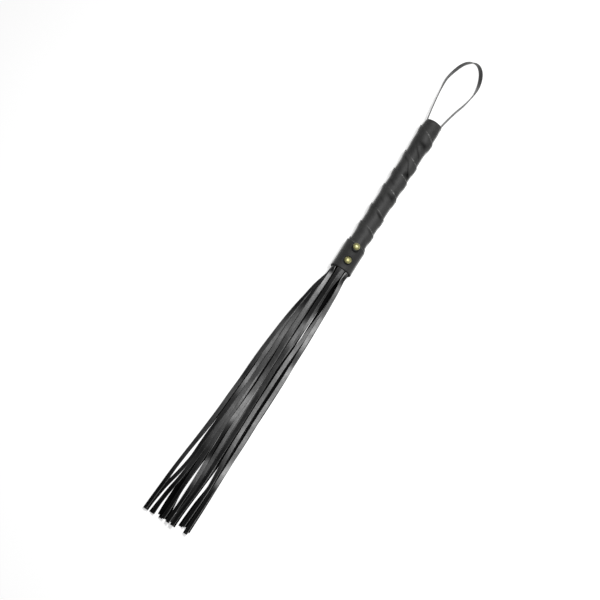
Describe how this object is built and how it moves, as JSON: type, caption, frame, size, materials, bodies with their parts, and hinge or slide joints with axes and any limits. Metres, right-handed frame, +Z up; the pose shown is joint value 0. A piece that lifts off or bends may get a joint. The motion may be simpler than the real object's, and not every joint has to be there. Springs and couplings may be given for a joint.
{
  "type": "multi-tail leather whip",
  "caption": "Short leather whip: spiral-wrapped round handle with a wrist loop, a riveted collar and a bundle of flat leather tails that fan out and bend at the collar.",
  "frame": {"origin": "centre of the bounding box at the surface the whip lies on", "axes": "+Y along the handle towards the wrist loop, tails towards -Y, +Z up from the surface, rivets on the upper side"},
  "size_m": [0.0658, 0.6338, 0.0273],
  "materials": {
    "wrap_leather": "matt charcoal grained leather",
    "tail_leather": "semi-gloss black leather with cut edges",
    "core_wood": "plain turned dowel, hidden",
    "rivet_brass": "polished pale brass",
    "pin_steel": "plain steel shank, hidden"
  },
  "bodies": {
    "handle": {"handle_core": "core_wood", "handle_wrap": "wrap_leather", "butt_disc": "wrap_leather", "strap_end_left": "wrap_leather", "strap_end_right": "wrap_leather", "fringe_band": "tail_leather", "collar": "wrap_leather", "rivet_cap_1": "rivet_brass", "rivet_cap_2": "rivet_brass", "rivet_pin_1": "pin_steel", "rivet_pin_2": "pin_steel"},
    "wrist_loop": {"wrist_loop": "wrap_leather"},
    "fall": {"fringe_neck": "tail_leather", "tail_low_4": "tail_leather", "tail_mid_4": "tail_leather", "tail_top_4": "tail_leather"},
    "tail_low_7": {"tail_low_7": "tail_leather"},
    "tail_low_1": {"tail_low_1": "tail_leather"},
    "tail_low_2": {"tail_low_2": "tail_leather"},
    "tail_low_3": {"tail_low_3": "tail_leather"},
    "tail_low_5": {"tail_low_5": "tail_leather"},
    "tail_low_6": {"tail_low_6": "tail_leather"},
    "tail_mid_1": {"tail_mid_1": "tail_leather"},
    "tail_mid_2": {"tail_mid_2": "tail_leather"},
    "tail_mid_3": {"tail_mid_3": "tail_leather"},
    "tail_mid_5": {"tail_mid_5": "tail_leather"},
    "tail_mid_6": {"tail_mid_6": "tail_leather"},
    "tail_mid_7": {"tail_mid_7": "tail_leather"},
    "tail_top_1": {"tail_top_1": "tail_leather"},
    "tail_top_2": {"tail_top_2": "tail_leather"},
    "tail_top_3": {"tail_top_3": "tail_leather"},
    "tail_top_5": {"tail_top_5": "tail_leather"},
    "tail_top_6": {"tail_top_6": "tail_leather"},
    "tail_top_7": {"tail_top_7": "tail_leather"}
  },
  "joints": [
    {"name": "wrist_loop_swing", "type": "hinge", "parent": "handle", "child": "wrist_loop", "pos_m": [0.0107, 0.22455, 0.01275], "axis": [1, 0, 0], "range_deg": [-90, 90]},
    {"name": "fall_bend", "type": "hinge", "parent": "handle", "child": "fall", "pos_m": [0.0107, 0.0037, 0.011], "axis": [1, 0, 0], "range_deg": [-75, 75], "deforming": ["fringe_neck"]},
    {"name": "tail_spread", "type": "hinge", "parent": "fall", "child": "tail_low_7", "pos_m": [0.0189, -0.0113, 0.0005], "axis": [0, 0, 1], "range_deg": [0, 30]},
    {"name": "spread_tail_low_1", "type": "hinge", "parent": "fall", "child": "tail_low_1", "pos_m": [-0.0025, -0.0113, 0.0005], "axis": [0, 0, 1], "range_deg": [-30.05, 0]},
    {"name": "spread_tail_low_2", "type": "hinge", "parent": "fall", "child": "tail_low_2", "pos_m": [0.0003, -0.0113, 0.00185], "axis": [0, 0, 1], "range_deg": [-20.05, 0]},
    {"name": "spread_tail_low_3", "type": "hinge", "parent": "fall", "child": "tail_low_3", "pos_m": [0.0037, -0.0113, 0.0005], "axis": [0, 0, 1], "range_deg": [-10.05, 0]},
    {"name": "spread_tail_low_5", "type": "hinge", "parent": "fall", "child": "tail_low_5", "pos_m": [0.0111, -0.0113, 0.0005], "axis": [0, 0, 1], "range_deg": [0, 10.05]},
    {"name": "spread_tail_low_6", "type": "hinge", "parent": "fall", "child": "tail_low_6", "pos_m": [0.0151, -0.0113, 0.00185], "axis": [0, 0, 1], "range_deg": [0, 20.05]},
    {"name": "spread_tail_mid_1", "type": "hinge", "parent": "fall", "child": "tail_mid_1", "pos_m": [-0.0019, -0.0113, 0.00952], "axis": [0, 0, 1], "range_deg": [-30.05, 0]},
    {"name": "spread_tail_mid_2", "type": "hinge", "parent": "fall", "child": "tail_mid_2", "pos_m": [-0.0003, -0.0113, 0.00682], "axis": [0, 0, 1], "range_deg": [-20.05, 0]},
    {"name": "spread_tail_mid_3", "type": "hinge", "parent": "fall", "child": "tail_mid_3", "pos_m": [0.0017, -0.0113, 0.01087], "axis": [0, 0, 1], "range_deg": [-10.05, 0]},
    {"name": "spread_tail_mid_5", "type": "hinge", "parent": "fall", "child": "tail_mid_5", "pos_m": [0.0105, -0.0113, 0.00682], "axis": [0, 0, 1], "range_deg": [0, 10.05]},
    {"name": "spread_tail_mid_6", "type": "hinge", "parent": "fall", "child": "tail_mid_6", "pos_m": [0.0193, -0.0113, 0.00817], "axis": [0, 0, 1], "range_deg": [0, 20.05]},
    {"name": "spread_tail_mid_7", "type": "hinge", "parent": "fall", "child": "tail_mid_7", "pos_m": [0.0199, -0.0113, 0.00682], "axis": [0, 0, 1], "range_deg": [0, 30.05]},
    {"name": "spread_tail_top_1", "type": "hinge", "parent": "fall", "child": "tail_top_1", "pos_m": [-0.0046, -0.0113, 0.01268], "axis": [0, 0, 1], "range_deg": [-30.05, 0]},
    {"name": "spread_tail_top_2", "type": "hinge", "parent": "fall", "child": "tail_top_2", "pos_m": [-0.0013, -0.0113, 0.01538], "axis": [0, 0, 1], "range_deg": [-20.05, 0]},
    {"name": "spread_tail_top_3", "type": "hinge", "parent": "fall", "child": "tail_top_3", "pos_m": [0.0001, -0.0113, 0.01403], "axis": [0, 0, 1], "range_deg": [-10.05, 0]},
    {"name": "spread_tail_top_5", "type": "hinge", "parent": "fall", "child": "tail_top_5", "pos_m": [0.0089, -0.0113, 0.00998], "axis": [0, 0, 1], "range_deg": [0, 10.05]},
    {"name": "spread_tail_top_6", "type": "hinge", "parent": "fall", "child": "tail_top_6", "pos_m": [0.0201, -0.0113, 0.01133], "axis": [0, 0, 1], "range_deg": [0, 20.05]},
    {"name": "spread_tail_top_7", "type": "hinge", "parent": "fall", "child": "tail_top_7", "pos_m": [0.0206, -0.0113, 0.01268], "axis": [0, 0, 1], "range_deg": [0, 30.05]}
  ],
  "couplings": [
    {"joint": "spread_tail_low_1", "follows": "tail_spread", "ratio": -1},
    {"joint": "spread_tail_low_2", "follows": "tail_spread", "ratio": -0.66667},
    {"joint": "spread_tail_low_3", "follows": "tail_spread", "ratio": -0.33333},
    {"joint": "spread_tail_low_5", "follows": "tail_spread", "ratio": 0.33333},
    {"joint": "spread_tail_low_6", "follows": "tail_spread", "ratio": 0.66667},
    {"joint": "spread_tail_mid_1", "follows": "tail_spread", "ratio": -1},
    {"joint": "spread_tail_mid_2", "follows": "tail_spread", "ratio": -0.66667},
    {"joint": "spread_tail_mid_3", "follows": "tail_spread", "ratio": -0.33333},
    {"joint": "spread_tail_mid_5", "follows": "tail_spread", "ratio": 0.33333},
    {"joint": "spread_tail_mid_6", "follows": "tail_spread", "ratio": 0.66667},
    {"joint": "spread_tail_mid_7", "follows": "tail_spread", "ratio": 1},
    {"joint": "spread_tail_top_1", "follows": "tail_spread", "ratio": -1},
    {"joint": "spread_tail_top_2", "follows": "tail_spread", "ratio": -0.66667},
    {"joint": "spread_tail_top_3", "follows": "tail_spread", "ratio": -0.33333},
    {"joint": "spread_tail_top_5", "follows": "tail_spread", "ratio": 0.33333},
    {"joint": "spread_tail_top_6", "follows": "tail_spread", "ratio": 0.66667},
    {"joint": "spread_tail_top_7", "follows": "tail_spread", "ratio": 1}
  ]
}
